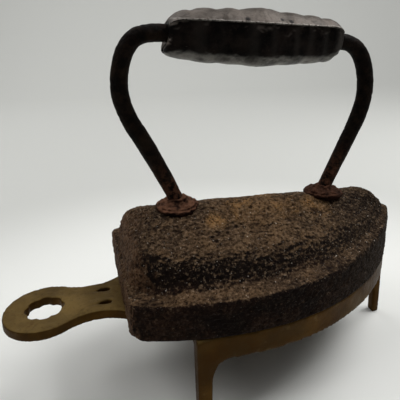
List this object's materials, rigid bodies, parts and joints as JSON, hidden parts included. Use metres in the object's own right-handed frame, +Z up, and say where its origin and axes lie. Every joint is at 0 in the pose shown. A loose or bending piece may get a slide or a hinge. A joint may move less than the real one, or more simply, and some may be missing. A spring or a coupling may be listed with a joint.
{
  "type": "sad iron on trivet",
  "caption": "Cast-iron flat iron with a bent round-bar handle and swelled hand grip, standing on a low brass trivet with a pierced paddle handle.",
  "frame": {"origin": "on the floor, under the middle of the whole object", "axes": "+X from the iron's heel to its toe, +Z up, +Y to the left of someone who pushes the iron along +X"},
  "size_m": [0.2296, 0.1128, 0.2004],
  "materials": {
    "cast_body": "pitted and rusted",
    "wrought_bar": "dark, lightly pitted",
    "collar_rust": "flaking rust",
    "grip_iron": "hand-worn satin",
    "old_brass": "aged, dull"
  },
  "bodies": {
    "trivet": {"trivet": "old_brass"},
    "iron": {"iron_body": "cast_body", "handle_rod": "wrought_bar", "rear_post_collar": "collar_rust", "front_post_collar": "collar_rust", "grip_upper_shell": "grip_iron", "grip_lower_shell": "grip_iron"}
  },
  "joints": [
    {"name": "iron_lift", "type": "slide", "parent": "trivet", "child": "iron", "axis": [0, 0, 1], "range_m": [0, 0.08]}
  ]
}
